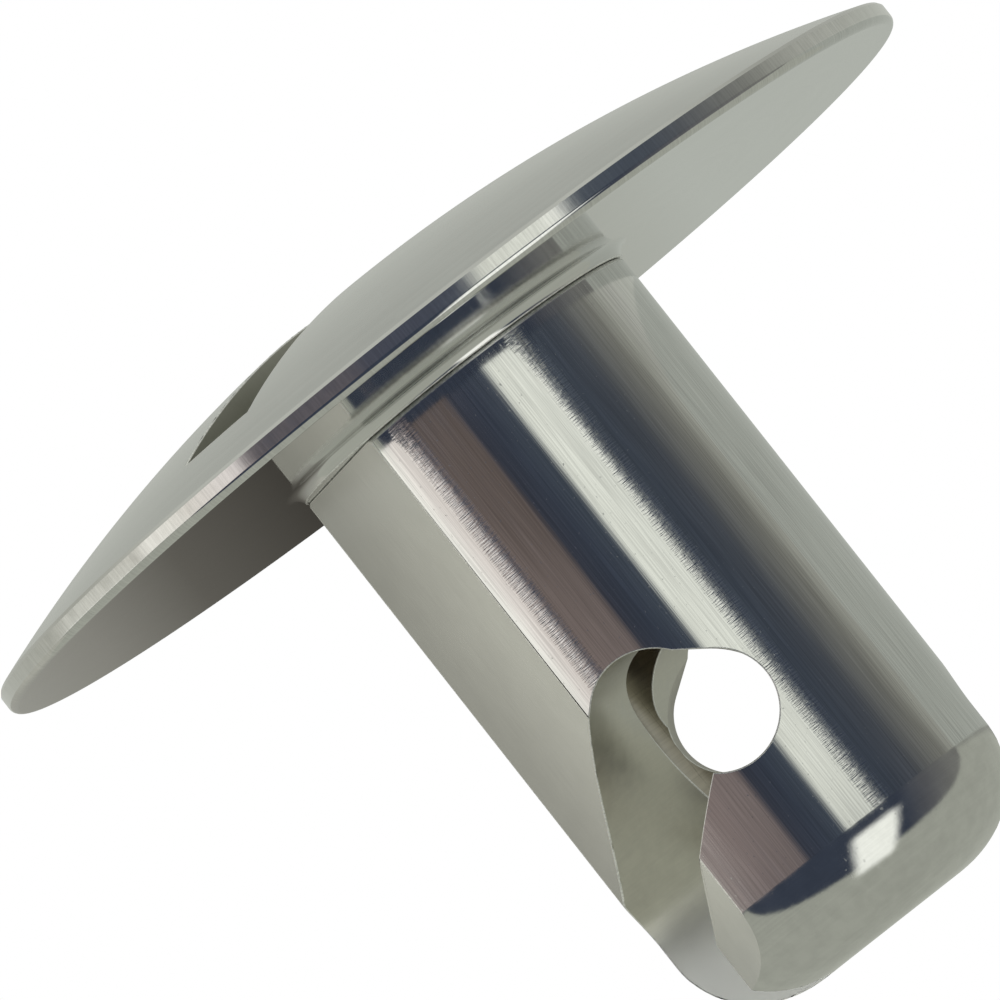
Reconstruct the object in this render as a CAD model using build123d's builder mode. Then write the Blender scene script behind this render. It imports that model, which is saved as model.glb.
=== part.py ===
from build123d import *
import os
from math import cos, radians, sin, sqrt, tan

# Quarter-turn cam-slot fastener stud.
# Frame: +Z is the stud's axis and points out of the domed head, the origin is on the axis in the
# plane of the head's flat underside, and the cross hole opens towards -Y. Millimetres.

# Head
head_dia = 22.225
rim_round = 0.16
rim_height = 0.29
rim_top_break = 0.05
dome_height = 2.06
driver_slot_width = 1.80
driver_slot_floor_z = 1.17
driver_slot_angle = -27.8

# Boss under the head
boss_dia = 7.96
boss_height = 0.26
boss_fillet = 0.34

# Shank
shank_dia = 7.9375
shank_end_z = -13.97
shank_top_break = 0.06
end_radius = 2.0
flat_distance = 3.49
flat_angle = -60.0

# Spigot on the shank, pressed in the head's blind bore
spigot_dia = 5.0
spigot_top_z = 0.62
spigot_lead = 0.10
bore_top_z = 0.66

# Blind bore up the middle of the shank, with a drill point
axial_bore_dia = 2.90
axial_bore_rise = 8.0
drill_point_angle = 118.0

# Cross hole and the short notch beside it, cut with one round cutter that crosses the whole shank.
# Rises are above the shank's end, and angles are about +Z from -Y, negative towards -X.
hole_dia = 2.40
hole_rise = 5.35
notch_rise = 6.08

# Cam slot, cut with a wider round cutter from its peak down the helix and straight out of the end
slot_width = 2.64
peak_rise = 6.00
peak_angle = -15.0
entry_rise = 2.36
entry_angle = -79.0
cutter_clearance = 0.6

head_radius = head_dia / 2
rim_top_z = rim_round + rim_height
dome_top_z = rim_top_z + dome_height
dome_sphere = (head_radius**2 + dome_height**2) / (2 * dome_height)
boss_radius = boss_dia / 2
boss_fillet_rise = boss_fillet - boss_height
boss_fillet_reach = boss_radius + sqrt(boss_fillet**2 - boss_fillet_rise**2)
shank_radius = shank_dia / 2
spigot_radius = spigot_dia / 2
hole_radius = hole_dia / 2
slot_radius = slot_width / 2
axial_bore_radius = axial_bore_dia / 2
cutter_reach = shank_radius + cutter_clearance
hole_z = shank_end_z + hole_rise
bore_end_z = shank_end_z + axial_bore_rise
bore_tip_z = bore_end_z + axial_bore_radius / tan(radians(drill_point_angle / 2))


def dome_z(radius):
    """Height of the dome at a distance from the axis."""
    return dome_top_z - dome_sphere + sqrt(dome_sphere**2 - radius**2)


def radial(angle):
    """Unit vector across the shank, at an angle from -Y."""
    return Vector(sin(radians(angle)), -cos(radians(angle)), 0)


def tangent(angle):
    """Unit vector round the shank, towards growing angles."""
    return Vector(cos(radians(angle)), sin(radians(angle)), 0)


def flank_point(reach, angle, z, turn, climb, cutter_radius, side):
    """Point where a cutter that turns and climbs at once grazes one flank of its own path."""
    graze = tangent(angle) * climb - Vector(0, 0, reach * turn)
    return radial(angle) * reach + graze * (side * cutter_radius / graze.length) + Vector(0, 0, z)


def slot_leg(start, end, cutter_radius, steps):
    """Solid swept by a cutter on one straight leg, between two (angle, height) stops."""
    turn = radians(end[0] - start[0])
    climb = end[1] - start[1]
    shares = [i / steps for i in range(steps + 1)]
    reaches = [cutter_reach * (j / 8 - 1) for j in range(17)]
    flanks = []
    for side in (1, -1):
        rows = []
        for share in shares:
            angle = start[0] + (end[0] - start[0]) * share
            z = start[1] + climb * share
            row = [flank_point(r, angle, z, turn, climb, cutter_radius, side) for r in reaches]
            rows.append(row)
        flanks.append(Face.make_surface_from_array_of_points(rows, tol=0.0005))
    pairs = zip(flanks[0].edges(), flanks[1].edges())
    closures = [Face.make_surface_from_curves(a, b) for a, b in pairs]
    return Solid(Shell([*flanks, *closures]))


os.makedirs("parts", exist_ok=True)


# Domed head with its boss: one turned profile, a blind bore from below and the driver slot
with BuildPart() as slotted_head:
    with BuildSketch(Plane.XZ):
        with BuildLine():
            dome_start = (0, dome_top_z)
            dome_end = (head_radius - rim_top_break, dome_z(head_radius - rim_top_break))
            half_way = head_radius / 2
            dome = ThreePointArc(dome_start, (half_way, dome_z(half_way)), dome_end)
            Polyline(
                dome_end,
                (head_radius, rim_top_z - rim_top_break),
                (head_radius, rim_round),
            )
            RadiusArc((head_radius, rim_round), (head_radius - rim_round, 0), rim_round)
            Line((head_radius - rim_round, 0), (boss_fillet_reach, 0))
            RadiusArc((boss_fillet_reach, 0), (boss_radius, -boss_height), boss_fillet)
            Polyline((boss_radius, -boss_height), (0, -boss_height), dome_start)
        make_face()
    revolve(axis=Axis.Z)
    with Locations((0, 0, -boss_height)):
        Cylinder(
            spigot_radius,
            bore_top_z + boss_height,
            align=(Align.CENTER, Align.CENTER, Align.MIN),
            mode=Mode.SUBTRACT,
        )
    with Locations(Location((0, 0, driver_slot_floor_z), (0, 0, driver_slot_angle))):
        Box(
            driver_slot_width,
            head_dia + 2,
            dome_height + 1,
            align=(Align.CENTER, Align.CENTER, Align.MIN),
            mode=Mode.SUBTRACT,
        )
slotted_head.part.label = "slotted_head"
export_step(slotted_head.part, "parts/slotted_head.step")


# Shank: one turned profile with the spigot on top and a bore from its end, then two flats, the
# cross hole with its notch, and the cam slot
with BuildPart() as cam_shank:
    with BuildSketch(Plane.XZ):
        with BuildLine():
            end_flat = shank_radius - end_radius
            end_start = shank_end_z + end_radius
            Line((0, shank_end_z), (end_flat, shank_end_z))
            RadiusArc((end_flat, shank_end_z), (shank_radius, end_start), -end_radius)
            Polyline(
                (shank_radius, end_start),
                (shank_radius, -boss_height - shank_top_break),
                (shank_radius - shank_top_break, -boss_height),
                (spigot_radius, -boss_height),
                (spigot_radius, spigot_top_z - spigot_lead),
                (spigot_radius - spigot_lead, spigot_top_z),
                (0, spigot_top_z),
                (0, shank_end_z),
            )
        make_face()
    revolve(axis=Axis.Z)
    for turn in (0, 180):
        outward = radial(flat_angle + turn)
        with BuildSketch(Plane(origin=outward * flat_distance, z_dir=outward)):
            Rectangle(40, 40)
        extrude(amount=shank_radius, mode=Mode.SUBTRACT)
    with BuildSketch(Plane.XZ):
        Polygon(
            (0, shank_end_z - 1),
            (axial_bore_radius, shank_end_z - 1),
            (axial_bore_radius, bore_end_z),
            (0, bore_tip_z),
            align=None,
        )
    revolve(axis=Axis.Z, mode=Mode.SUBTRACT)
    hole_stop = (0, hole_z)
    notch_stop = (peak_angle, shank_end_z + notch_rise)
    peak_stop = (peak_angle, shank_end_z + peak_rise)
    entry_stop = (entry_angle, shank_end_z + entry_rise)
    add(slot_leg(peak_stop, entry_stop, slot_radius, 24), mode=Mode.SUBTRACT)
    for angle, z in (entry_stop, peak_stop):
        with BuildSketch(Plane(origin=(0, 0, z), z_dir=radial(angle))):
            Circle(slot_radius)
        extrude(amount=cutter_reach, both=True, mode=Mode.SUBTRACT)
    with BuildSketch(Plane(origin=(0, 0, shank_end_z - 1), x_dir=tangent(entry_angle))):
        Rectangle(slot_width, 2 * cutter_reach)
    extrude(amount=entry_rise + 1, mode=Mode.SUBTRACT)
    with BuildSketch(Plane(origin=(0, 0, hole_z), z_dir=radial(0))):
        Circle(hole_radius)
    extrude(amount=cutter_reach, both=True, mode=Mode.SUBTRACT)
    add(slot_leg(hole_stop, notch_stop, hole_radius, 6), mode=Mode.SUBTRACT)
cam_shank.part.label = "cam_shank"
export_step(cam_shank.part, "parts/cam_shank.step")
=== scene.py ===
from math import atan2, ceil, cos, degrees, pi, radians, sin, sqrt

import bmesh
import bpy
import numpy as np
from mathutils import Matrix, Vector


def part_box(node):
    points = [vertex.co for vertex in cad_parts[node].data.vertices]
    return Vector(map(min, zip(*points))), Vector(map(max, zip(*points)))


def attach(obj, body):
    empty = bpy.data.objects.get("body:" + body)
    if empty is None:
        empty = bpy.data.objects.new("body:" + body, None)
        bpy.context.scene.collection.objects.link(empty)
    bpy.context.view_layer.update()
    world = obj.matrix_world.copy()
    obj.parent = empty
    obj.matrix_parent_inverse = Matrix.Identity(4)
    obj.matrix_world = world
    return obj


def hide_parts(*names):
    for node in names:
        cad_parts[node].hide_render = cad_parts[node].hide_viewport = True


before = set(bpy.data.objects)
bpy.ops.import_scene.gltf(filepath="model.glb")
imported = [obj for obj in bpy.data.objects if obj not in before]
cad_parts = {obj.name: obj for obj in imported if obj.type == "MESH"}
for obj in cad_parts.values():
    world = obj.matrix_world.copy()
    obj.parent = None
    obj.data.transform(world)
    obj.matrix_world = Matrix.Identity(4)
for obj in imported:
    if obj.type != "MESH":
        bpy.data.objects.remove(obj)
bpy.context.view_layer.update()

# Quarter-turn cam-slot stud. Meshes are worked out in millimetres in the CAD frame (+Z out of the
# dome, cross hole towards -Y) and written in metres. Angles about +Z are counted from -Y.
MM = 0.001
TO_DEGREES = 180 / pi


# ---------------------------------------------------------------- sizes, from the frame in mm
def node_box(node):
    low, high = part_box(node)
    return np.array(low) / MM, np.array(high) / MM


head_low, head_high = node_box("slotted_head")
shank_low, shank_high = node_box("cam_shank")

HEAD_RADIUS = float(head_high[0])
BOSS_BOTTOM = float(head_low[2])
SHANK_RADIUS = float(shank_high[0])
SHANK_END = float(shank_low[2])
SPIGOT_TOP = float(shank_high[2])

# Head details
RIM_ROUND = 0.16
RIM_HEIGHT = 0.29
RIM_BREAK = 0.05
RIM_TOP = RIM_ROUND + RIM_HEIGHT
DOME_HEIGHT = 2.06
BOSS_RADIUS = 3.98
BOSS_FILLET = 0.34
DRIVER_WIDTH = 1.80
DRIVER_FLOOR = 1.17
DRIVER_ANGLE = -27.8
BORE_TOP = 0.66

# Shank details
SPIGOT_RADIUS = 2.5
SPIGOT_LEAD = 0.10
SHANK_BREAK = 0.06
END_RADIUS = 2.0
FLAT_DISTANCE = 3.49
FLAT_ANGLE = -60.0
FLAT_BLOCK = (30, 60, 5)

# Cutter paths of the cross hole with its notch and of the cam slot: (angle, rise above the end)
HOLE_RADIUS = 1.2
HOLE_RISE = 5.35
NOTCH = [(0.0, HOLE_RISE), (-15.0, 6.08)]
CUTTER_RADIUS = 1.32
PATH = [(-15.0, 6.0), (-79.0, 2.36), (-79.0, -1.0)]
CUTTER_REACH = SHANK_RADIUS + 0.6

# Bore up the middle of the shank, with the height of its drill point as a share of its radius
BORE_RADIUS = 1.45
BORE_RISE = 8.0
DRILL_POINT = 0.6

# Segments round the turned pieces and the cutters, and steps along and across a cutter's leg
HEAD_SEGMENTS = 480
SHANK_SEGMENTS = 288
ROD_SEGMENTS = 120
LEG_STEPS = 22
LEG_ACROSS = 48

# Samples along a cutter's path, how far off one may be looked for, and points taken at a time
SAMPLES_PER_DEGREE = 60
SAMPLE_WINDOW = 60
FAR_AWAY = 100.0
BLOCK = 400

# Vertices closer than this are one, and none is moved further than this onto its surface
WELD = 0.003
PULL_LIMIT = 0.02

# Broken edges: their width, the least angle that gets one, and the joins that stay as cut
EDGE_WIDTH = 0.03
EDGE_ANGLE = 9
KEPT_SHARP = [{"flat", "end"}, {"end", "drill"}, {"dome", "break"}, {"break", "rim"}]

# Marks that tell faces apart while a piece is finished, and the kind of a face on no surface
SURFACE, BROKEN = 0, 1
NO_KIND = -1


# ---------------------------------------------------------------- profiles and their surfaces
class Line2:
    """Straight stretch of a turned profile, with the solid on its left."""

    def __init__(self, a, b):
        self.a = np.array(a, float)
        self.b = np.array(b, float)

    def points(self):
        return [tuple(self.a), tuple(self.b)]

    def meet(self, rz):
        along = self.b - self.a
        length = np.linalg.norm(along)
        along = along / length
        share = np.clip((rz - self.a) @ along, 0, length)
        foot = self.a + share[:, None] * along
        normal = np.array([along[1], -along[0]])
        gap = rz - foot
        distance = np.linalg.norm(gap, axis=1)
        return distance, np.tile(normal, (len(rz), 1)), (rz - self.a) @ normal


class Arc2:
    """Round stretch of a turned profile; its bulge is 1 on a rounding and -1 in a hollow."""

    def __init__(self, centre, radius, start, end, steps, bulge=1):
        self.centre = np.array(centre, float)
        self.radius, self.start, self.end = radius, radians(start), radians(end)
        self.steps, self.bulge = steps, bulge

    def points(self):
        angles = np.linspace(self.start, self.end, self.steps + 1)
        return [tuple(self.centre + self.radius * np.array([cos(t), sin(t)])) for t in angles]

    def meet(self, rz):
        out = rz - self.centre
        angle = np.arctan2(out[:, 1], out[:, 0])
        low, high = min(self.start, self.end), max(self.start, self.end)
        middle = (low + high) / 2
        angle = (angle - middle + pi) % (2 * pi) - pi + middle
        held = np.clip(angle, low, high)
        foot = self.centre + self.radius * np.stack([np.cos(held), np.sin(held)], 1)
        distance = np.linalg.norm(rz - foot, axis=1)
        size = np.linalg.norm(out, axis=1)
        normal = out / size[:, None] * self.bulge
        return distance, normal, (size - self.radius) * self.bulge


def turned_surface(stretch):
    """Surface of a profile stretch turned about Z."""

    def meet(points):
        radius = np.hypot(points[:, 0], points[:, 1])
        rz = np.stack([radius, points[:, 2]], 1)
        distance, flat_normal, depth = stretch.meet(rz)
        safe = np.maximum(radius, 1e-9)
        normal = np.stack(
            [
                flat_normal[:, 0] * points[:, 0] / safe,
                flat_normal[:, 0] * points[:, 1] / safe,
                flat_normal[:, 1],
            ],
            1,
        )
        return distance, normal, depth

    return meet


def flat_surface(normal, offset):
    """Plane with an outward normal at a distance from the origin along it."""
    normal = np.array(normal, float)

    def meet(points):
        depth = points @ normal - offset
        return np.abs(depth), np.tile(normal, (len(points), 1)), depth

    return meet


def radial(angle):
    """Unit vectors across the stud, at angles in radians."""
    return np.stack([np.sin(angle), -np.cos(angle), np.zeros_like(angle)], -1)


def tangent(angle):
    """Unit vectors round the stud, towards growing angles."""
    return np.stack([np.cos(angle), np.sin(angle), np.zeros_like(angle)], -1)


def path_points(path):
    """Angle in radians and height of a cutter's axis along its whole path."""
    angles, heights = [], []
    for (a0, z0), (a1, z1) in zip(path, path[1:]):
        steps = SAMPLES_PER_DEGREE * ceil(max(abs(a1 - a0), 4))
        share = np.linspace(0, 1, steps, endpoint=False)
        angles.append(a0 + (a1 - a0) * share)
        heights.append(z0 + (z1 - z0) * share)
    angles.append([path[-1][0]])
    heights.append([path[-1][1]])
    return np.radians(np.concatenate(angles)), np.concatenate(heights) + SHANK_END


def slot_surface(path, radius):
    """Wall left by the travelling cutter: the nearest cutter axis gives distance and normal.

    near holds a path sample for each point, and keeps the choice to the samples beside it.
    """
    angles, heights = path_points(path)
    sides = tangent(angles)

    def meet_slot(points, near=None):
        found_d, found_n, found_t = [], [], []
        for i in range(0, len(points), BLOCK):
            block = points[i : i + BLOCK]
            across = block @ sides.T
            rise = block[:, 2:3] - heights[None, :]
            square = across**2 + rise**2
            if near is not None:
                steps_off = np.abs(np.arange(len(angles))[None, :] - near[i : i + BLOCK, None])
                square = square + (steps_off > SAMPLE_WINDOW) * FAR_AWAY
            pick = np.argmin(square, axis=1)
            rows = np.arange(len(block))
            vector = sides[pick] * across[rows, pick][:, None]
            vector[:, 2] += rise[rows, pick]
            size = np.linalg.norm(vector, axis=1)
            found_n.append(-vector / np.maximum(size, 1e-9)[:, None])
            found_d.append(radius - size)
            found_t.append(pick)
        depth = np.concatenate(found_d)
        return np.abs(depth), np.concatenate(found_n), depth, np.concatenate(found_t)

    return meet_slot


def hollowed(surface):
    """The same surface seen from a solid that surrounds it."""

    def meet(points):
        distance, normal, depth = surface(points)
        return distance, -normal, -depth

    return meet


# ---------------------------------------------------------------- mesh helpers
def new_object(name, verts, faces):
    """Mesh object in the scene, still in millimetres."""
    mesh = bpy.data.meshes.new(name)
    mesh.from_pydata([tuple(map(float, v)) for v in verts], [], faces)
    mesh.update()
    obj = bpy.data.objects.new(name, mesh)
    bpy.context.scene.collection.objects.link(obj)
    return obj


def outward(obj):
    """Turn the faces of a closed mesh outwards."""
    bm = bmesh.new()
    bm.from_mesh(obj.data)
    bmesh.ops.recalc_face_normals(bm, faces=bm.faces)
    bm.to_mesh(obj.data)
    bm.free()
    return obj


def turned_object(name, stretches, segments):
    """Closed solid from a profile that starts and ends on the axis."""
    outline = []
    for stretch in stretches:
        for point in stretch.points():
            if not outline or np.hypot(*(np.array(point) - outline[-1])) > 1e-6:
                outline.append(np.array(point, float))
    verts, faces = [], []
    rings = []
    for r, z in outline:
        if r < 1e-6:
            rings.append([len(verts)])
            verts.append((0, 0, z))
        else:
            rings.append(list(range(len(verts), len(verts) + segments)))
            for k in range(segments):
                t = 2 * pi * k / segments
                verts.append((r * cos(t), r * sin(t), z))
    for low, high in zip(rings, rings[1:]):
        for k in range(segments):
            n = (k + 1) % segments
            if len(low) == 1:
                faces.append((low[0], high[n], high[k]))
            elif len(high) == 1:
                faces.append((low[k], low[n], high[0]))
            else:
                faces.append((low[k], low[n], high[n], high[k]))
    return outward(new_object(name, verts, faces))


def box_object(name, origin, x_axis, z_axis, size):
    """Box standing on its origin, size (x, y, z), turned to its own axes."""
    z = Vector(z_axis).normalized()
    x = Vector(x_axis).normalized()
    y = z.cross(x)
    verts = []
    for k in (0, 1):
        for sx, sy in ((-1, -1), (1, -1), (1, 1), (-1, 1)):
            p = Vector(origin) + x * sx * size[0] / 2 + y * sy * size[1] / 2 + z * k * size[2]
            verts.append(p)
    faces = [(3, 2, 1, 0), (4, 5, 6, 7), (0, 1, 5, 4), (1, 2, 6, 5), (2, 3, 7, 6), (3, 0, 4, 7)]
    return outward(new_object(name, verts, faces))


def cutter_rod(name, angle, z, radius, segments=ROD_SEGMENTS):
    """The round cutter standing across the whole shank."""
    out = radial(np.array(radians(angle)))
    side = tangent(np.array(radians(angle)))
    verts, faces = [], []
    for end in (-CUTTER_REACH, CUTTER_REACH):
        for k in range(segments):
            t = 2 * pi * k / segments
            offset = (side * cos(t) + np.array([0, 0, sin(t)])) * radius
            verts.append(out * end + offset + np.array([0, 0, z]))
    faces.append(tuple(range(segments)))
    faces.append(tuple(range(2 * segments - 1, segments - 1, -1)))
    for k in range(segments):
        n = (k + 1) % segments
        faces.append((n, k, segments + k, segments + n))
    return outward(new_object(name, verts, faces))


def cutter_leg(name, start, end, radius, steps, across=LEG_ACROSS):
    """What the cutter sweeps on one straight leg of its path, between its two flanks."""
    (a0, z0), (a1, z1) = start, end
    turn, climb = radians(a1 - a0), z1 - z0
    verts = []
    index = {}
    for side in (0, 1):
        for i in range(steps + 1):
            angle = np.array(radians(a0 + (a1 - a0) * i / steps))
            z = z0 + (z1 - z0) * i / steps
            for j in range(across + 1):
                r = CUTTER_REACH * (2 * j / across - 1)
                graze = tangent(angle) * climb - np.array([0, 0, r * turn])
                graze = graze / sqrt(climb**2 + (r * turn) ** 2)
                index[side, i, j] = len(verts)
                p = radial(angle) * r + graze * radius * (1 - 2 * side)
                verts.append(p + np.array([0, 0, z]))
    faces = []
    for i in range(steps):
        for j in range(across):
            a, b = (i, j), (i + 1, j)
            c, d = (i + 1, j + 1), (i, j + 1)
            faces.append(tuple(index[(0, *q)] for q in (a, b, c, d)))
            faces.append(tuple(index[(1, *q)] for q in (d, c, b, a)))
        faces.append((index[0, i + 1, 0], index[0, i, 0], index[1, i, 0], index[1, i + 1, 0]))
        faces.append(
            (
                index[0, i, across],
                index[0, i + 1, across],
                index[1, i + 1, across],
                index[1, i, across],
            )
        )
    for j in range(across):
        faces.append((index[0, 0, j], index[0, 0, j + 1], index[1, 0, j + 1], index[1, 0, j]))
        faces.append(
            (
                index[0, steps, j + 1],
                index[0, steps, j],
                index[1, steps, j],
                index[1, steps, j + 1],
            )
        )
    return outward(new_object(name, verts, faces))


def subtract(body, cutter):
    """Boolean difference, applied to the body's mesh; the cutter is removed."""
    mod = body.modifiers.new("cut", "BOOLEAN")
    mod.operation = "DIFFERENCE"
    mod.solver = "MANIFOLD"
    mod.object = cutter
    depsgraph = bpy.context.evaluated_depsgraph_get()
    result = bpy.data.meshes.new_from_object(body.evaluated_get(depsgraph))
    body.modifiers.clear()
    old = body.data
    body.data = result
    bpy.data.meshes.remove(old)
    bpy.data.objects.remove(cutter)


def nearest_surface(points, surfaces):
    """Index of the surface that each point lies on."""
    distances = np.stack([surface(points)[0] for surface in surfaces], 1)
    return np.argmin(distances, axis=1)


def mark_kinds(bm, surfaces):
    """Store on every face the index of the surface it lies on."""
    bm.faces.ensure_lookup_table()
    bm.faces.index_update()
    centres = np.array([tuple(f.calc_center_median()) for f in bm.faces])
    kinds = nearest_surface(centres, surfaces)
    layer = bm.faces.layers.int.new("kind")
    for face in bm.faces:
        face.material_index = SURFACE
        face[layer] = int(kinds[face.index])
    return layer


def break_edges(bm, layer, groups):
    """Bevel the sharp edges between two groups; the new faces are marked as broken."""
    sharp = []
    for edge in bm.edges:
        if len(edge.link_faces) == 2:
            pair = {groups[face[layer]] for face in edge.link_faces}
            joined = len(pair) == 1 or pair in KEPT_SHARP
            if not joined and edge.calc_face_angle(0) > radians(EDGE_ANGLE):
                sharp.append(edge)
    bmesh.ops.bevel(
        bm,
        geom=sharp,
        offset=EDGE_WIDTH,
        offset_type="OFFSET",
        segments=2,
        profile=0.5,
        affect="EDGES",
        clamp_overlap=False,
        loop_slide=False,
        material=BROKEN,
    )
    bm.faces.ensure_lookup_table()
    bm.verts.ensure_lookup_table()
    bm.faces.index_update()
    bm.verts.index_update()
    bm.normal_update()


def vertex_owners(bm, layer):
    """For each vertex, the surfaces whose faces meet there."""
    owners = [set() for _ in bm.verts]
    for face in bm.faces:
        if face.material_index == SURFACE:
            for vert in face.verts:
                owners[vert.index].add(face[layer])
    return owners


def pull_to_surfaces(bm, surfaces, owners):
    """Put each vertex that belongs to one surface exactly on it, and return all the places."""
    places = np.array([tuple(v.co) for v in bm.verts])
    for kind, surface in enumerate(surfaces):
        mine = np.array([i for i, own in enumerate(owners) if own == {kind}], int)
        if len(mine):
            for _ in range(2):
                _, normal, depth = surface(places[mine])[:3]
                small = np.abs(depth) < PULL_LIMIT
                places[mine] -= (normal * depth[:, None]) * small[:, None]
    for vert in bm.verts:
        vert.co = places[vert.index]
    bm.normal_update()
    return places


def blended_normals(bm):
    """Normals at the vertices from the broken faces round them, larger faces counting more."""
    blended = np.zeros((len(bm.verts), 3))
    for face in bm.faces:
        if face.material_index == BROKEN:
            for vert in face.verts:
                blended[vert.index] += np.array(face.normal) * face.calc_area() ** 0.5
    return blended / np.maximum(np.linalg.norm(blended, axis=1), 1e-12)[:, None]


def corner_normals(bm, face_kind, surfaces, owners, places):
    """Normal of every face corner: exact on a surface, blended across a broken edge."""
    corner_face = np.array([face.index for face in bm.faces for _ in face.verts])
    corner_vert = np.array([vert.index for face in bm.faces for vert in face.verts])
    centres = np.array([tuple(f.calc_center_median()) for f in bm.faces])
    normals = np.zeros((len(corner_vert), 3))
    for kind, surface in enumerate(surfaces):
        here = face_kind[corner_face] == kind
        if here.any():
            points = places[corner_vert[here]]
            if surface.__name__ == "meet_slot":
                samples = np.zeros(len(face_kind), int)
                samples[face_kind == kind] = surface(centres[face_kind == kind])[3]
                normals[here] = surface(points, near=samples[corner_face[here]])[1]
            else:
                normals[here] = surface(points)[1]
    broken = face_kind[corner_face] == NO_KIND
    normals[broken] = blended_normals(bm)[corner_vert[broken]]
    for kind, surface in enumerate(surfaces):
        single = np.array([own == {kind} for own in owners])
        here = broken & single[corner_vert]
        if here.any():
            normals[here] = surface(places[corner_vert[here]])[1]
    return normals


def finish_piece(obj, surfaces, groups, slots):
    """Break the sharp edges, then give every corner the exact normal of the surface it lies on.

    surfaces holds the meet functions, groups their names, and slots the materials by group name.
    Inside a group nothing is broken, so two stretches of one wall stay sharp where they cross.
    """
    mesh = obj.data
    bm = bmesh.new()
    bm.from_mesh(mesh)
    bmesh.ops.remove_doubles(bm, verts=bm.verts, dist=WELD)
    bmesh.ops.dissolve_degenerate(bm, edges=bm.edges, dist=WELD / 3)
    layer = mark_kinds(bm, surfaces)
    break_edges(bm, layer, groups)
    owners = vertex_owners(bm, layer)
    places = pull_to_surfaces(bm, surfaces, owners)
    face_kind = np.array([f[layer] if f.material_index == SURFACE else NO_KIND for f in bm.faces])
    normals = corner_normals(bm, face_kind, surfaces, owners, places)

    names = list(slots)
    for face in bm.faces:
        kind = face_kind[face.index]
        face.material_index = names.index("edge" if kind == NO_KIND else groups[kind])
        face.smooth = True
    bm.faces.layers.int.remove(layer)
    mesh.materials.clear()
    for name in names:
        mesh.materials.append(slots[name])
    bm.to_mesh(mesh)
    bm.free()
    mesh.transform(Matrix.Scale(MM, 4))
    mesh.normals_split_custom_set([tuple(n) for n in normals])
    mesh.update()


# ---------------------------------------------------------------- node helpers
def node(tree, kind, **values):
    """Add a node; in_N sets its input N, and a socket given there is linked instead."""
    made = tree.nodes.new(kind)
    for key, value in values.items():
        if key.startswith("in_"):
            feed(tree, made.inputs[int(key[3:])], value)
        else:
            setattr(made, key, value)
    return made


def feed(tree, socket, value):
    """Link a socket to an input, or set the input to a constant."""
    if isinstance(value, bpy.types.NodeSocket):
        tree.links.new(value, socket)
    else:
        socket.default_value = value


def maths(tree, operation, a, b=0.0):
    """Result of a math node on one or two values."""
    return node(tree, "ShaderNodeMath", operation=operation, in_0=a, in_1=b).outputs[0]


def smooth(tree, value, low, high, out_low=0.0, out_high=1.0):
    """Smooth step of a value between two places."""
    made = node(tree, "ShaderNodeMapRange", interpolation_type="SMOOTHSTEP")
    for index, item in enumerate((value, low, high, out_low, out_high)):
        feed(tree, made.inputs[index], item)
    return made.outputs[0]


def gate(tree, value, low, high, soft=1.5):
    """1 between two places and 0 outside, with soft sides."""
    rising = smooth(tree, value, low - soft, low + soft)
    falling = smooth(tree, value, high - soft, high + soft, 1.0, 0.0)
    return maths(tree, "MULTIPLY", rising, falling)


def blend_colour(tree, share, a, b, blend_type="MIX"):
    """Colour a where the share is 0 and b where it is 1."""
    made = node(tree, "ShaderNodeMix", data_type="RGBA", blend_type=blend_type)
    feed(tree, made.inputs[0], share)
    feed(tree, made.inputs[6], a)
    feed(tree, made.inputs[7], b)
    return made.outputs[2]


def ramp(tree, value, stops):
    """Colour ramp from (place, colour) stops, the places from 0 to 1."""
    made = node(tree, "ShaderNodeValToRGB", in_0=value)
    elements = made.color_ramp.elements
    elements[0].position, elements[1].position = stops[0][0], stops[-1][0]
    elements[0].color, elements[1].color = (*stops[0][1], 1), (*stops[-1][1], 1)
    for place, colour in stops[1:-1]:
        elements.new(place).color = (*colour, 1)
    return made.outputs[0]


# ---------------------------------------------------------------- materials
STEEL = (0.63, 0.635, 0.615)
OLIVE = (0.54, 0.53, 0.46)


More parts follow.
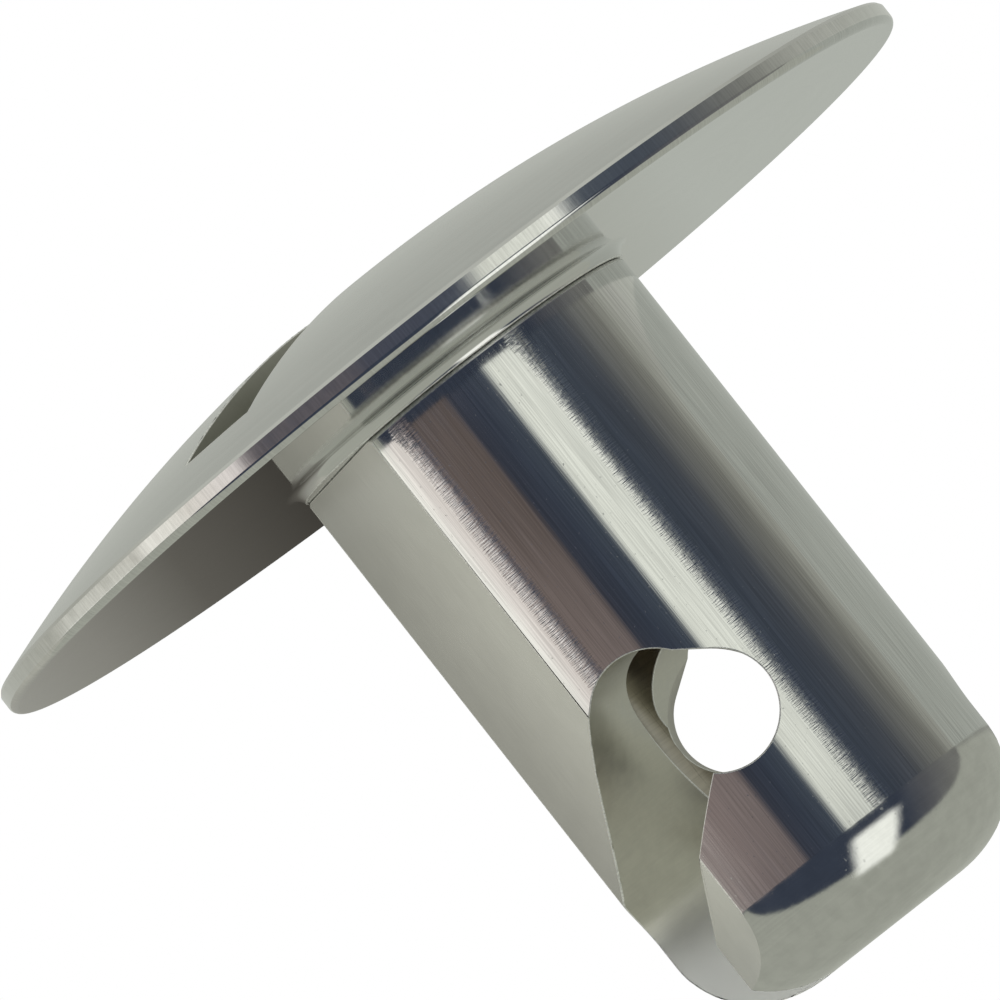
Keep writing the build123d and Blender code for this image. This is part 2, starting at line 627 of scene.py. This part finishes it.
class Metal:
    """Bare-metal material with its grain: directional noise that drives bump, gloss and colour."""

    def __init__(self, name, colour, roughness):
        self.material = bpy.data.materials.new(name)
        self.material.use_nodes = True
        self.tree = self.material.node_tree
        self.shader = self.tree.nodes["Principled BSDF"]
        self.shader.inputs["Metallic"].default_value = 1.0
        self.colour, self.roughness = colour, roughness
        self.heights = []
        self.tints = []
        self.gloss = []
        place = node(self.tree, "ShaderNodeTexCoord").outputs["Object"]
        scale = node(self.tree, "ShaderNodeVectorMath", operation="SCALE", in_0=place)
        scale.inputs["Scale"].default_value = 1 / MM
        self.place = scale.outputs[0]
        split = node(self.tree, "ShaderNodeSeparateXYZ", in_0=self.place)
        self.x, self.y, self.z = split.outputs
        x_square = self.maths("MULTIPLY", self.x, self.x)
        y_square = self.maths("MULTIPLY", self.y, self.y)
        self.reach = self.maths("SQRT", self.maths("ADD", x_square, y_square))
        self.turn = self.maths("ARCTAN2", self.x, self.y)

    def maths(self, *values):
        """Result of a math node in the material's own tree."""
        return maths(self.tree, *values)

    def sum(self, values):
        """Values added up."""
        total = values[0]
        for other in values[1:]:
            total = self.maths("ADD", total, other)
        return total

    def around(self, radius):
        """Millimetres round the axis, at a radius."""
        return self.maths("MULTIPLY", self.turn, radius)

    def grain(self, across, along, across_mm, along_mm, detail=2.0, seed=0.0):
        """Noise from 0 to 1 with its own cell size in two directions."""
        vector = node(
            self.tree,
            "ShaderNodeCombineXYZ",
            in_0=self.maths("MULTIPLY", across, 1 / across_mm),
            in_1=self.maths("MULTIPLY", along, 1 / along_mm),
            in_2=seed,
        )
        noise = node(self.tree, "ShaderNodeTexNoise", in_0=vector.outputs[0])
        noise.inputs["Scale"].default_value = 1.0
        noise.inputs["Detail"].default_value = detail
        noise.inputs["Roughness"].default_value = 0.6
        return noise.outputs[0]

    def cloud(self, size_mm, detail=3.0):
        """Noise from 0 to 1 that is alike in every direction."""
        noise = node(self.tree, "ShaderNodeTexNoise", in_0=self.place)
        noise.inputs["Scale"].default_value = 1 / size_mm
        noise.inputs["Detail"].default_value = detail
        return noise.outputs[0]

    def bump(self, height, microns):
        """Raise the surface by a noise value."""
        self.heights.append(self.maths("MULTIPLY", height, microns))

    def tint(self, value, low, high):
        """Darken or lighten the colour by a noise value."""
        self.tints.append(smooth(self.tree, value, 0.25, 0.75, low, high))

    def vary_gloss(self, value, amount):
        """Change the roughness by a noise value."""
        self.gloss.append(smooth(self.tree, value, 0.2, 0.8, -amount, amount))

    def specks(self, noise, share):
        """Scattered rough pinpoints, at the peaks of a noise."""
        peaks = smooth(self.tree, noise, 0.70, 0.76)
        self.gloss.append(self.maths("MULTIPLY", peaks, share))

    def finished(self):
        """Join up what was added, and return the material."""
        tree, shader = self.tree, self.shader
        product = self.tints[0]
        for other in self.tints[1:]:
            product = self.maths("MULTIPLY", product, other)
        grey = node(tree, "ShaderNodeCombineColor", in_0=product, in_1=product, in_2=product)
        tinted = blend_colour(tree, 1.0, (*self.colour, 1), grey.outputs[0], "MULTIPLY")
        tree.links.new(tinted, shader.inputs["Base Color"])
        if self.gloss:
            rough = self.maths("ADD", self.sum(self.gloss), self.roughness)
            tree.links.new(rough, shader.inputs["Roughness"])
        else:
            shader.inputs["Roughness"].default_value = self.roughness
        bump = node(tree, "ShaderNodeBump")
        bump.inputs["Distance"].default_value = 1e-6
        tree.links.new(self.sum(self.heights), bump.inputs["Height"])
        tree.links.new(bump.outputs[0], shader.inputs["Normal"])
        return self.material


def round_metal():
    """Shank: polished, then brushed lengthwise, with short hairs across it in two sectors."""
    metal = Metal("shank_brushed", STEEL, 0.06)
    side = metal.around(SHANK_RADIUS)
    fine = metal.grain(side, metal.z, 0.03, 2.2, 2.0, 1.0)
    broad = metal.grain(side, metal.z, 0.16, 5.0, 2.0, 5.0)
    hairs = metal.grain(side, metal.z, 0.45, 0.035, 2.0, 15.0)
    sector = metal.maths("ARCTAN2", metal.x, metal.maths("MULTIPLY", metal.y, -1.0))
    sector = metal.maths("MULTIPLY", sector, TO_DEGREES)
    right = gate(metal.tree, sector, 18.5, 24.0, 2.0)
    left = gate(metal.tree, sector, -24.5, -19.0, 1.5)
    raised = smooth(metal.tree, metal.z, SHANK_END + 5.0, SHANK_END + 6.5, 0.0, 0.7)
    left = metal.maths("MULTIPLY", left, raised)
    haired = metal.maths("MULTIPLY", metal.maths("ADD", right, left), hairs)
    metal.bump(fine, 0.35)
    metal.bump(broad, 0.7)
    metal.bump(haired, 5.0)
    metal.tint(fine, 0.82, 1.12)
    metal.tint(broad, 0.94, 1.03)
    metal.vary_gloss(broad, 0.02)
    metal.specks(metal.grain(side, metal.z, 0.06, 0.10, 1.0, 21.0), 0.18)
    return metal.finished()


def flat_metal():
    """Milled flats, satin, with painted light and shade: paler towards one edge and the end, darker
    towards the head.
    """
    metal = Metal("flat_satin", (0.60, 0.60, 0.575), 0.22)
    side = metal.around(SHANK_RADIUS)
    fine = metal.grain(side, metal.z, 0.05, 1.4, 2.0, 3.0)
    mottle = metal.cloud(0.9)
    metal.bump(fine, 0.3)
    metal.tint(fine, 0.98, 1.02)
    metal.tint(mottle, 0.96, 1.03)
    # Painted light and shade: lighter towards one edge of the flat and towards the shank's end,
    # darker towards the head.
    side_x, side_y, _ = tangent(np.array(radians(FLAT_ANGLE)))
    along_x = metal.maths("MULTIPLY", metal.x, float(side_x))
    along_y = metal.maths("MULTIPLY", metal.y, float(side_y))
    nearer = metal.maths("ADD", along_x, along_y)
    metal.tints.append(smooth(metal.tree, nearer, -2.0, 2.2, 0.86, 1.24))
    metal.tints.append(smooth(metal.tree, metal.z, -5.0, -0.5, 1.03, 0.90))
    metal.vary_gloss(mottle, 0.04)
    return metal.finished()


def wall_metal():
    """Slot and hole walls, cut by the round cutters; duller where the slot runs out, with painted
    light there: paler and less metallic towards the shank's end.
    """
    metal = Metal("slot_wall", OLIVE, 0.33)
    mottle = metal.cloud(0.35)
    marks = metal.grain(metal.reach, metal.z, 0.6, 0.05, 2.0, 2.0)
    metal.bump(mottle, 4.0)
    metal.bump(marks, 0.25)
    metal.tint(mottle, 0.92, 1.05)
    metal.tint(marks, 0.97, 1.02)
    metal.vary_gloss(mottle, 0.05)
    # Painted light: towards the shank's end the wall is made rougher, paler and partly non-metal,
    # so that it shows light in place of its dark reflection.
    painted_light_share = smooth(metal.tree, metal.z, SHANK_END + 1.4, SHANK_END + 3.4, 1.0, 0.0)
    metal.gloss.append(metal.maths("MULTIPLY", painted_light_share, 0.2))
    material = metal.finished()
    colour, metallic = metal.shader.inputs["Base Color"], metal.shader.inputs["Metallic"]
    cut_colour = colour.links[0].from_socket
    # The pale colour here is painted light on the lower wall.
    feed(metal.tree, colour, blend_colour(metal.tree, painted_light_share, cut_colour, (0.90, 0.91, 0.88, 1)))
    bare = metal.maths("SUBTRACT", 1.0, metal.maths("MULTIPLY", painted_light_share, 0.85))
    feed(metal.tree, metallic, bare)
    return material


def drill_metal():
    """Bore up the middle, as drilled."""
    metal = Metal("drilled_bore", (0.46, 0.42, 0.35), 0.30)
    rings = metal.grain(metal.turn, metal.z, 2.0, 0.06, 2.0, 14.0)
    metal.bump(rings, 1.5)
    metal.tint(rings, 0.85, 1.05)
    return metal.finished()


def end_metal():
    """Rounded end, turned and polished."""
    metal = Metal("end_polished", (0.60, 0.605, 0.58), 0.10)
    outline = metal.maths("SUBTRACT", metal.reach, metal.z)
    rings = metal.grain(outline, metal.around(3.0), 0.03, 3.0, 2.0, 4.0)
    mottle = metal.cloud(0.35)
    metal.bump(rings, 0.25)
    metal.bump(mottle, 2.0)
    metal.tint(rings, 0.97, 1.02)
    metal.tint(mottle, 0.94, 1.04)
    metal.vary_gloss(mottle, 0.03)
    metal.specks(metal.cloud(0.09, 1.0), 0.15)
    return metal.finished()


def edge_metal(name, speck):
    """Broken edges with a fine burr, in a colour brighter than the steel: a painted highlight along
    the edges.
    """
    # Painted highlight: the near-white colour makes every broken edge show as a bright line.
    metal = Metal(name, (0.92, 0.92, 0.89), 0.42)
    burr = metal.cloud(speck, 2.0)
    metal.bump(burr, 2.5)
    metal.tint(burr, 0.70, 1.08)
    metal.vary_gloss(burr, 0.08)
    return metal.finished()


def turned_metal(name, colour, roughness, ring_bump=0.3):
    """Faces turned in the lathe: fine rings round the axis."""
    metal = Metal(name, colour, roughness)
    rings = metal.grain(metal.reach, metal.around(8.0), 0.05, 9.0, 2.0, 6.0)
    broad = metal.grain(metal.reach, metal.around(8.0), 0.35, 14.0, 2.0, 8.0)
    mottle = metal.cloud(1.8)
    metal.bump(rings, ring_bump)
    metal.tint(rings, 0.975, 1.02)
    metal.tint(broad, 0.98, 1.02)
    metal.tint(mottle, 0.97, 1.03)
    metal.vary_gloss(mottle, 0.02)
    return metal.finished()


def rim_metal():
    """Rim band with fine ticks across it."""
    metal = Metal("rim_band", STEEL, 0.09)
    side = metal.around(HEAD_RADIUS)
    ticks = metal.grain(side, metal.z, 0.06, 1.5, 2.0, 7.0)
    nicks = metal.grain(side, metal.z, 0.3, 0.4, 2.0, 12.0)
    metal.bump(ticks, 0.25)
    metal.tint(ticks, 0.90, 1.06)
    metal.tint(nicks, 0.95, 1.03)
    metal.vary_gloss(nicks, 0.03)
    return metal.finished()


def shank_slots():
    turned = turned_metal("shank_turned", STEEL, 0.12)
    return {
        "round": round_metal(),
        "flat": flat_metal(),
        "wall": wall_metal(),
        "drill": drill_metal(),
        "end": end_metal(),
        "break": edge_metal("shank_break", 0.05),
        "top": turned,
        "spigot": turned,
        "edge": edge_metal("shank_edge", 0.05),
    }


def head_slots():
    under = turned_metal("head_under", STEEL, 0.07, 0.08)
    lip = turned_metal("head_lip", (0.60, 0.60, 0.585), 0.14, 0.6)
    burr = edge_metal("head_edge", 0.08)
    return {
        "dome": turned_metal("head_dome", (0.52, 0.525, 0.515), 0.16, 0.15),
        "rim": rim_metal(),
        "break": lip,
        "under": under,
        "boss": turned_metal("head_boss", STEEL, 0.08, 0.15),
        "joint": under,
        "bore": under,
        "slot": turned_metal("driver_slot", (0.44, 0.44, 0.39), 0.40, 0.8),
        "edge": burr,
    }


# ---------------------------------------------------------------- the shank
def shank_stretches():
    step = BOSS_BOTTOM - SHANK_BREAK
    end_edge = SHANK_RADIUS - END_RADIUS
    lead = SPIGOT_RADIUS - SPIGOT_LEAD
    return [
        Line2((0, SHANK_END), (end_edge, SHANK_END)),
        Arc2((end_edge, SHANK_END + END_RADIUS), END_RADIUS, -90, 0, 32),
        Line2((SHANK_RADIUS, SHANK_END + END_RADIUS), (SHANK_RADIUS, step)),
        Line2((SHANK_RADIUS, step), (SHANK_RADIUS - SHANK_BREAK, BOSS_BOTTOM)),
        Line2((SHANK_RADIUS - SHANK_BREAK, BOSS_BOTTOM), (SPIGOT_RADIUS, BOSS_BOTTOM)),
        Line2((SPIGOT_RADIUS, BOSS_BOTTOM), (SPIGOT_RADIUS, SPIGOT_TOP - SPIGOT_LEAD)),
        Line2((SPIGOT_RADIUS, SPIGOT_TOP - SPIGOT_LEAD), (lead, SPIGOT_TOP)),
        Line2((lead, SPIGOT_TOP), (0, SPIGOT_TOP)),
    ]


def cut_flats(shank):
    """Cut the two flats, and return their surfaces."""
    surfaces = []
    for turn in (0, 180):
        angle = np.array(radians(FLAT_ANGLE + turn))
        out, side = radial(angle), tangent(angle)
        block = box_object("flat_cut", out * FLAT_DISTANCE, side, out, FLAT_BLOCK)
        subtract(shank, block)
        surfaces.append(flat_surface(out, FLAT_DISTANCE))
    return surfaces


def cut_path(shank, path, radius):
    """Cut what one round cutter sweeps along its path, and return the wall's surface."""
    stops = [(angle, rise + SHANK_END) for angle, rise in path]
    for stop in stops[:2]:
        subtract(shank, cutter_rod("stop_cut", *stop, radius))
    for start, end in zip(stops, stops[1:]):
        steps = 2 + ceil(max(abs(end[0] - start[0]), LEG_STEPS))
        subtract(shank, cutter_leg("leg_cut", start, end, radius, steps))
    return slot_surface(path, radius)


def cut_bore(shank):
    """Cut the bore up the middle, and return the surfaces of its wall and its drill point."""
    start, top = SHANK_END - 1, SHANK_END + BORE_RISE
    bore = [
        Line2((0, start), (BORE_RADIUS, start)),
        Line2((BORE_RADIUS, start), (BORE_RADIUS, top)),
        Line2((BORE_RADIUS, top), (0, top + DRILL_POINT * BORE_RADIUS)),
    ]
    subtract(shank, turned_object("bore_cut", bore, ROD_SEGMENTS))
    return [hollowed(turned_surface(stretch)) for stretch in bore[1:]]


def make_shank(slots):
    stretches = shank_stretches()
    shank = turned_object("stud_shank", stretches, SHANK_SEGMENTS)
    surfaces = [turned_surface(stretch) for stretch in stretches]
    groups = ["end", "end", "round", "break", "top", "spigot", "spigot", "spigot"]
    surfaces += cut_flats(shank)
    groups += ["flat", "flat"]
    surfaces.append(cut_path(shank, NOTCH, HOLE_RADIUS))
    surfaces.append(cut_path(shank, PATH, CUTTER_RADIUS))
    groups += ["wall", "wall"]
    surfaces += cut_bore(shank)
    groups += ["drill", "drill"]
    finish_piece(shank, surfaces, groups, slots)
    return shank


# ---------------------------------------------------------------- the head
def head_stretches():
    rim = HEAD_RADIUS
    sphere = (rim**2 + DOME_HEIGHT**2) / (2 * DOME_HEIGHT)
    centre = RIM_TOP + DOME_HEIGHT - sphere
    lip = rim - RIM_BREAK
    lip_angle = degrees(atan2(sqrt(sphere**2 - lip**2), lip))
    lip_z = centre + sqrt(sphere**2 - lip**2)
    foot = BOSS_FILLET + BOSS_BOTTOM
    reach = BOSS_RADIUS + sqrt(BOSS_FILLET**2 - foot**2)
    foot_angle = 180 - degrees(atan2(foot, reach - BOSS_RADIUS))
    return [
        Line2((0, BORE_TOP), (SPIGOT_RADIUS, BORE_TOP)),
        Line2((SPIGOT_RADIUS, BORE_TOP), (SPIGOT_RADIUS, BOSS_BOTTOM)),
        Line2((SPIGOT_RADIUS, BOSS_BOTTOM), (BOSS_RADIUS, BOSS_BOTTOM)),
        Arc2((reach, -BOSS_FILLET), BOSS_FILLET, foot_angle, 90, 14, -1),
        Line2((reach, 0), (rim - RIM_ROUND, 0)),
        Arc2((rim - RIM_ROUND, RIM_ROUND), RIM_ROUND, -90, 0, 10),
        Line2((rim, RIM_ROUND), (rim, RIM_TOP - RIM_BREAK)),
        Line2((rim, RIM_TOP - RIM_BREAK), (lip, lip_z)),
        Arc2((0, centre), sphere, lip_angle, 90, 40),
    ]


def make_head(slots):
    stretches = head_stretches()
    head = turned_object("stud_head", stretches, HEAD_SEGMENTS)
    surfaces = [turned_surface(stretch) for stretch in stretches]
    groups = ["bore", "bore", "joint", "boss", "under", "rim", "rim", "break", "dome"]
    turn = radians(DRIVER_ANGLE)
    across = tangent(np.array(turn))
    floor = np.array([0, 0, DRIVER_FLOOR])
    block = (DRIVER_WIDTH, 3 * HEAD_RADIUS, 2 * DOME_HEIGHT)
    subtract(head, box_object("driver_cut", floor, across, (0, 0, 1), block))
    surfaces.append(flat_surface((0, 0, 1), DRIVER_FLOOR))
    groups.append("slot")
    for side in (1, -1):
        surfaces.append(flat_surface(-side * across, -DRIVER_WIDTH / 2))
        groups.append("slot")
    finish_piece(head, surfaces, groups, slots)
    return head


shank = make_shank(shank_slots())
head = make_head(head_slots())
for piece, cad_node, slot_name in (
    (shank, "cam_shank", "shank_metal"),
    (head, "slotted_head", "head_metal"),
):
    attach(piece, "root")
    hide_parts(cad_node)


# ---------------------------------------------------------------- camera
CAMERA_DISTANCE = 169.7
CAMERA_AZIMUTH = 1.5
TARGET_SIDE = -0.91
TARGET_RISE = 11.42
ROLL = 38.205
LENS = 308.736
SENSOR = 36


def make_camera():
    """Long lens level with the shank's end, rolled so that the stud lies across the picture."""
    turn = radians(CAMERA_AZIMUTH)
    right = Vector((cos(turn), sin(turn), 0))
    back = Vector((sin(turn), -cos(turn), 0))
    place = back * CAMERA_DISTANCE + Vector((0, 0, SHANK_END))
    target = right * TARGET_SIDE + Vector((0, 0, SHANK_END + TARGET_RISE))
    look = (target - place).normalized()
    upright = (Vector((0, 0, 1)) - look * look.z).normalized()
    side = look.cross(upright)
    roll = radians(ROLL)
    up = upright * cos(roll) + side * sin(roll)
    across = look.cross(up)
    data = bpy.data.cameras.new("camera")
    data.sensor_width = SENSOR
    data.lens = LENS
    data.clip_start = 0.01
    data.clip_end = 20
    camera = bpy.data.objects.new("camera", data)
    axes = Matrix((across, up, -look)).transposed().to_4x4()
    camera.matrix_world = Matrix.Translation(place * MM) @ axes
    bpy.context.scene.collection.objects.link(camera)
    bpy.context.scene.camera = camera


make_camera()


# ---------------------------------------------------------------- world
def srgb(*values):
    """Linear colour from 0-255 display values."""
    return tuple(((v / 255 + 0.055) / 1.055) ** 2.4 for v in values)


REFLECTANCE = 0.62


def tone(*values):
    """Light that a steel face at full mirror shows as these display values."""
    return tuple(c / REFLECTANCE for c in srgb(*values))


# Tones round the studio as (azimuth, display colour): 0 is the front and growing angles go right
LEFT_TONES = [(-180, (158, 160, 154)), (-130, (164, 165, 158)), (-114, (168, 168, 161))]
LEFT_TONES += [(-106, (226, 225, 219)), (-80, (228, 227, 221)), (-72, (142, 132, 130))]
LEFT_TONES += [(-40, (124, 112, 110)), (-16, (112, 102, 101)), (-12, (50, 53, 63))]
LEFT_TONES += [(0, (52, 58, 70))]
PATCH_TONES = [(-180, (236, 236, 230)), (-66, (236, 236, 230)), (-58, (224, 218, 214))]
PATCH_TONES += [(-50, (206, 197, 193)), (-44, (188, 174, 170)), (180, (188, 174, 170))]
RIGHT_TONES = [(0, (52, 58, 70)), (12, (62, 69, 79)), (16, (214, 216, 208))]
RIGHT_TONES += [(38, (210, 212, 205)), (43, (60, 66, 74)), (52, (56, 62, 72))]
RIGHT_TONES += [(68, (64, 68, 75)), (80, (94, 95, 94)), (92, (108, 108, 103))]
RIGHT_TONES += [(101, (138, 139, 132)), (118, (160, 161, 155)), (140, (162, 164, 157))]
RIGHT_TONES += [(180, (158, 160, 154))]
RIM_TONES = [(-180, (158, 160, 154)), (-100, (158, 158, 150)), (-78, (164, 162, 154))]
RIM_TONES += [(-73, (224, 220, 214)), (-60, (196, 191, 184)), (-47, (228, 223, 222))]
RIM_TONES += [(-43, (84, 84, 93)), (-10, (76, 78, 90)), (14, (70, 74, 86))]
RIM_TONES += [(18, (202, 203, 195)), (33, (212, 213, 206)), (36, (238, 238, 232))]
RIM_TONES += [(40, (80, 86, 96)), (60, (70, 76, 86)), (75, (92, 94, 97))]
RIM_TONES += [(90, (118, 119, 116)), (110, (150, 151, 145)), (180, (158, 160, 154))]
DARK_TONES = [(-180, (110, 110, 106)), (-60, (52, 58, 71)), (50, (52, 58, 71))]
DARK_TONES += [(72, (84, 85, 89)), (95, (108, 108, 106)), (180, (108, 108, 106))]
BROWN_TONE = (84, 75, 71)
TABLE_TONE = (150, 152, 144)
WINDOW_TONE = (240, 241, 236)
CEILING_TONE = (176, 178, 172)

# Rise at which the pale patch on the left starts to draw back, and how far it goes, in degrees
PATCH_FOOT = 2.3
PATCH_LEAN = 40.0

# Bowed lower side of the dark front: the azimuth of its middle, its half width and its depth
BOW_MIDDLE = 22.0
BOW_HALF = 83.0
BOW_DEPTH = 42.0

# Bright window in it: azimuths of its sides, its foot and top, and the slant of its sides
WINDOW_SIDES = (13, 47)
WINDOW_RISES = (-50, -13)
WINDOW_LEVEL = -11.0
WINDOW_SLANT = 0.23

# Rises between which the view passes from the shank's tones to the rim's
RIM_RISES = (4.84, 4.92)


def turned_ramp(tree, turn, places):
    """Colours round the studio, from (azimuth, display colour) places."""
    share = maths(tree, "DIVIDE", maths(tree, "ADD", turn, 180.0), 360.0)
    return ramp(tree, share, [((a + 180) / 360, tone(*c)) for a, c in places])


def upper_studio(tree, turn, rise):
    """What lies above the horizon, by azimuth and rise in degrees."""
    lean = maths(tree, "MULTIPLY", maths(tree, "SUBTRACT", PATCH_FOOT, rise), PATCH_LEAN)
    lean = maths(tree, "MINIMUM", maths(tree, "MAXIMUM", lean, 0.0), PATCH_LEAN)
    leaned = maths(tree, "ADD", turn, lean)
    sides = turned_ramp(tree, turn, LEFT_TONES)
    shaded = maths(
        tree,
        "MULTIPLY",
        gate(tree, turn, -72, -13),
        smooth(tree, rise, 1.4, 4.2, 0.0, 0.8),
    )
    sides = blend_colour(tree, shaded, sides, (*tone(*BROWN_TONE), 1))
    share = maths(
        tree,
        "MULTIPLY",
        smooth(tree, leaned, -47, -40, 1.0, 0.0),
        smooth(tree, turn, -80, -74),
    )
    sides = blend_colour(tree, share, sides, turned_ramp(tree, leaned, PATCH_TONES))
    on_right = maths(tree, "GREATER_THAN", turn, 0.0)
    upper = blend_colour(tree, on_right, sides, turned_ramp(tree, turn, RIGHT_TONES))

    # The rim stands nearer the studio's front than the shank, so it sees a shifted row of tones.
    on_rim = smooth(tree, rise, *RIM_RISES)
    return blend_colour(tree, on_rim, upper, turned_ramp(tree, turn, RIM_TONES))


def lower_studio(tree, turn, rise):
    """The pale table below a bowed dark front, with one bright window in it."""
    reach = maths(tree, "DIVIDE", maths(tree, "SUBTRACT", turn, BOW_MIDDLE), BOW_HALF)
    bow = maths(tree, "SUBTRACT", 1.0, maths(tree, "MULTIPLY", reach, reach))
    bow = maths(tree, "SQRT", maths(tree, "MAXIMUM", bow, 0.0))
    edge = maths(tree, "SUBTRACT", rise, maths(tree, "MULTIPLY", bow, -BOW_DEPTH))
    dark = turned_ramp(tree, turn, DARK_TONES)
    lower = blend_colour(tree, smooth(tree, edge, -3.5, 2.0), (*tone(*TABLE_TONE), 1), dark)
    slant = maths(tree, "SUBTRACT", rise, WINDOW_LEVEL)
    slant = maths(tree, "MULTIPLY", slant, WINDOW_SLANT)
    across = gate(tree, maths(tree, "SUBTRACT", turn, slant), *WINDOW_SIDES, 5.0)
    inside = maths(tree, "MULTIPLY", across, gate(tree, rise, *WINDOW_RISES, 4.0))
    return blend_colour(tree, inside, lower, (*tone(*WINDOW_TONE), 1))


def make_world():
    """Studio seen in the metal, and plain white for the camera."""
    world = bpy.data.worlds.new("studio")
    bpy.context.scene.world = world
    world.use_nodes = True
    tree = world.node_tree
    tree.nodes.clear()
    coords = node(tree, "ShaderNodeTexCoord").outputs["Generated"]
    x, y, z = node(tree, "ShaderNodeSeparateXYZ", in_0=coords).outputs
    turn = maths(tree, "ARCTAN2", x, maths(tree, "MULTIPLY", y, -1.0))
    turn = maths(tree, "MULTIPLY", turn, TO_DEGREES)
    rise = maths(tree, "MULTIPLY", maths(tree, "ARCSINE", z), TO_DEGREES)
    upper, lower = upper_studio(tree, turn, rise), lower_studio(tree, turn, rise)
    room = blend_colour(tree, smooth(tree, rise, -0.4, 0.9), lower, upper)
    ceiling = (*tone(*CEILING_TONE), 1)
    room = blend_colour(tree, smooth(tree, rise, 35, 60), room, ceiling)

    mirrored = node(tree, "ShaderNodeBackground", in_0=room, in_1=1.0).outputs[0]
    seen = node(tree, "ShaderNodeBackground", in_0=(1, 1, 1, 1), in_1=1.0).outputs[0]
    from_camera = node(tree, "ShaderNodeLightPath").outputs["Is Camera Ray"]
    mix = node(tree, "ShaderNodeMixShader", in_0=from_camera, in_1=mirrored, in_2=seen)
    node(tree, "ShaderNodeOutputWorld", in_0=mix.outputs[0])


make_world()
bpy.context.scene.view_settings.view_transform = "Standard"


# ---------------------------------------------------------------- floor and card
FLOOR_HALF = 420
FLOOR_DROP = 10
CARD_GAP = 1.2
CARD_HALF = 60
CARD_LOW, CARD_HIGH = -12, 0.3
SHADE_HALF = 26
SHADE_TONES = [(-26, (160, 160, 152)), (-13, (132, 132, 126)), (-10, (112, 111, 105))]
SHADE_TONES += [(-7.5, (78, 76, 71)), (-4.5, (52, 50, 46)), (-2, (60, 58, 54))]
SHADE_TONES += [(3, (140, 142, 135)), (6, (148, 151, 145)), (26, (148, 151, 145))]


def make_sheet(name, corners):
    """One flat face with an empty node material, in metres; returns it and the material's tree."""
    sheet = new_object(name, corners, [(0, 1, 2, 3)])
    sheet.data.transform(Matrix.Scale(MM, 4))
    material = bpy.data.materials.new(name)
    material.use_nodes = True
    material.node_tree.nodes.clear()
    sheet.data.materials.append(material)
    return sheet, material.node_tree


def make_floor():
    """Pale floor, clear from below so that the stud's underside can be looked at."""
    h, z = FLOOR_HALF, SHANK_END - FLOOR_DROP
    floor, tree = make_sheet("floor", [(-h, -h, z), (h, -h, z), (h, h, z), (-h, h, z)])
    pale = node(tree, "ShaderNodeBsdfPrincipled")
    pale.inputs["Base Color"].default_value = (0.9, 0.9, 0.9, 1)
    pale.inputs["Emission Color"].default_value = (1, 1, 1, 1)
    pale.inputs["Emission Strength"].default_value = 0.22
    clear = node(tree, "ShaderNodeBsdfTransparent")
    below = node(tree, "ShaderNodeNewGeometry").outputs["Backfacing"]
    mix = node(tree, "ShaderNodeMixShader", in_0=below)
    tree.links.new(pale.outputs[0], mix.inputs[1])
    tree.links.new(clear.outputs[0], mix.inputs[2])
    node(tree, "ShaderNodeOutputMaterial", in_0=mix.outputs[0])
    floor.visible_glossy = False


def make_card():
    """Card close behind the stud, seen only in the metal, with the stud's own shade on its left."""
    h, y, low, high = CARD_HALF, HEAD_RADIUS + CARD_GAP, CARD_LOW, CARD_HIGH
    corners = [(-h, y, low), (h, y, low), (h, y, high), (-h, y, high)]
    card, tree = make_sheet("shade_card", corners)
    place = node(tree, "ShaderNodeTexCoord").outputs["Object"]
    x = node(tree, "ShaderNodeSeparateXYZ", in_0=place).outputs[0]
    x = maths(tree, "DIVIDE", x, MM)
    share = maths(tree, "DIVIDE", maths(tree, "ADD", x, SHADE_HALF), 2 * SHADE_HALF)
    stops = [((a + SHADE_HALF) / (2 * SHADE_HALF), tone(*c)) for a, c in SHADE_TONES]
    light = node(tree, "ShaderNodeEmission", in_0=ramp(tree, share, stops), in_1=1.0)
    node(tree, "ShaderNodeOutputMaterial", in_0=light.outputs[0])
    card.visible_camera = False
    card.visible_diffuse = False
    card.visible_shadow = False


make_floor()
make_card()
